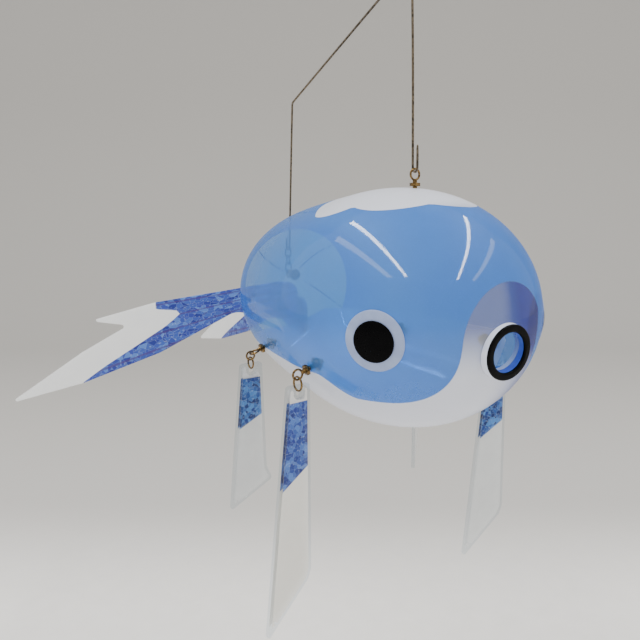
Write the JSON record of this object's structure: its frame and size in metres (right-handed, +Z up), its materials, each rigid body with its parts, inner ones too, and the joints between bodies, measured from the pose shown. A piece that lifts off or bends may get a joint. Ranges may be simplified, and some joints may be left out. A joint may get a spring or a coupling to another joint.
{
  "type": "hanging carp ornament",
  "caption": "Hollow see-through carp that hangs from a bent wire and a short chain, with a mouth ring, a forked tail and hinged fin plates that swing.",
  "frame": {"origin": "centre of the hanging loop at the top of the wire", "axes": "+X the way the carp swims, +Z up, -Y the carp's right side"},
  "size_m": [0.4768, 0.2424, 0.3508],
  "materials": {
    "clear_shell": "clear, with blue film and frosted white patches",
    "white_plastic": "satin",
    "black_plastic": "glossy",
    "clear_fins": "clear, with a blue print and a milky lower part",
    "clear_tail": "clear, with a violet-blue scale print",
    "aged_brass": "dark, aged"
  },
  "bodies": {
    "hanger": {"hanger_wire": "aged_brass", "chain_link_1": "aged_brass", "chain_link_2": "aged_brass", "chain_link_3": "aged_brass"},
    "carp": {"body_shell": "clear_shell", "eye_pupil_left": "black_plastic", "eye_pupil_right": "black_plastic", "eye_white_left": "white_plastic", "eye_white_right": "white_plastic", "front_nut_inner": "aged_brass", "front_nut_outer": "aged_brass", "front_screw_eye": "aged_brass", "front_washer": "aged_brass", "mouth_ring": "black_plastic", "pectoral_left_nut_inner": "aged_brass", "pectoral_left_nut_outer": "aged_brass", "pectoral_left_screw_eye": "aged_brass", "pectoral_left_washer": "aged_brass", "pectoral_right_nut_inner": "aged_brass", "pectoral_right_nut_outer": "aged_brass", "pectoral_right_screw_eye": "aged_brass", "pectoral_right_washer": "aged_brass", "pelvic_left_nut_inner": "aged_brass", "pelvic_left_nut_outer": "aged_brass", "pelvic_left_screw_eye": "aged_brass", "pelvic_left_washer": "aged_brass", "pelvic_right_nut_inner": "aged_brass", "pelvic_right_nut_outer": "aged_brass", "pelvic_right_screw_eye": "aged_brass", "pelvic_right_washer": "aged_brass", "rear_nut_inner": "aged_brass", "rear_nut_outer": "aged_brass", "rear_screw_eye": "aged_brass", "rear_washer": "aged_brass", "tail_plate_left": "clear_tail", "tail_plate_right": "clear_tail"},
    "pectoral_fin_right": {"pectoral_fin_right": "clear_fins"},
    "pectoral_right_ring": {"pectoral_right_ring": "aged_brass"},
    "pectoral_fin_left": {"pectoral_fin_left": "clear_fins"},
    "pectoral_left_ring": {"pectoral_left_ring": "aged_brass"},
    "pelvic_fin_right": {"pelvic_fin_right": "clear_fins"},
    "pelvic_right_ring_1": {"pelvic_right_ring_1": "aged_brass"},
    "pelvic_right_ring_2": {"pelvic_right_ring_2": "aged_brass"},
    "pelvic_fin_left": {"pelvic_fin_left": "clear_fins"},
    "pelvic_left_ring_1": {"pelvic_left_ring_1": "aged_brass"},
    "pelvic_left_ring_2": {"pelvic_left_ring_2": "aged_brass"}
  },
  "joints": [
    {"name": "body_sway", "type": "hinge", "parent": "hanger", "child": "carp", "pos_m": [0.0066, 0, -0.10553], "axis": [0.9201, 0, 0.3916], "range_deg": [-18, 18]},
    {"name": "pectoral_right_ring_swing", "type": "hinge", "parent": "carp", "child": "pectoral_right_ring", "pos_m": [0.0006, -0.07071, -0.2127], "axis": [0, 1, 0], "range_deg": [-20, 20]},
    {"name": "pectoral_fin_right_swing", "type": "hinge", "parent": "pectoral_right_ring", "child": "pectoral_fin_right", "pos_m": [0.0006, -0.07071, -0.2185], "axis": [0.9962, 0.0872, 0], "range_deg": [-25, 25]},
    {"name": "pectoral_left_ring_swing", "type": "hinge", "parent": "carp", "child": "pectoral_left_ring", "pos_m": [0.0006, 0.07071, -0.2127], "axis": [0, 1, 0], "range_deg": [-20, 20]},
    {"name": "pectoral_fin_left_swing", "type": "hinge", "parent": "pectoral_left_ring", "child": "pectoral_fin_left", "pos_m": [0.0006, 0.07071, -0.2185], "axis": [0.9962, -0.0872, 0], "range_deg": [-25, 25]},
    {"name": "pelvic_right_ring_1_swing", "type": "hinge", "parent": "carp", "child": "pelvic_right_ring_1", "pos_m": [-0.0734, -0.06351, -0.21292], "axis": [1, 0, 0], "range_deg": [-15, 15]},
    {"name": "pelvic_right_ring_2_swing", "type": "hinge", "parent": "pelvic_right_ring_1", "child": "pelvic_right_ring_2", "pos_m": [-0.0734, -0.06351, -0.21652], "axis": [-0.0233, 0.9997, 0], "range_deg": [-20, 20]},
    {"name": "pelvic_fin_right_swing", "type": "hinge", "parent": "pelvic_right_ring_2", "child": "pelvic_fin_right", "pos_m": [-0.0734, -0.06351, -0.22172], "axis": [0.9989, 0.0465, 0], "range_deg": [-15, 15]},
    {"name": "pelvic_left_ring_1_swing", "type": "hinge", "parent": "carp", "child": "pelvic_left_ring_1", "pos_m": [-0.0734, 0.06351, -0.21292], "axis": [1, 0, 0], "range_deg": [-15, 15]},
    {"name": "pelvic_left_ring_2_swing", "type": "hinge", "parent": "pelvic_left_ring_1", "child": "pelvic_left_ring_2", "pos_m": [-0.0734, 0.06351, -0.21652], "axis": [-0.2756, 0.9613, 0], "range_deg": [-20, 20]},
    {"name": "pelvic_fin_left_swing", "type": "hinge", "parent": "pelvic_left_ring_2", "child": "pelvic_fin_left", "pos_m": [-0.0734, 0.06351, -0.22172], "axis": [0.848, 0.5299, 0], "range_deg": [-15, 15]}
  ]
}
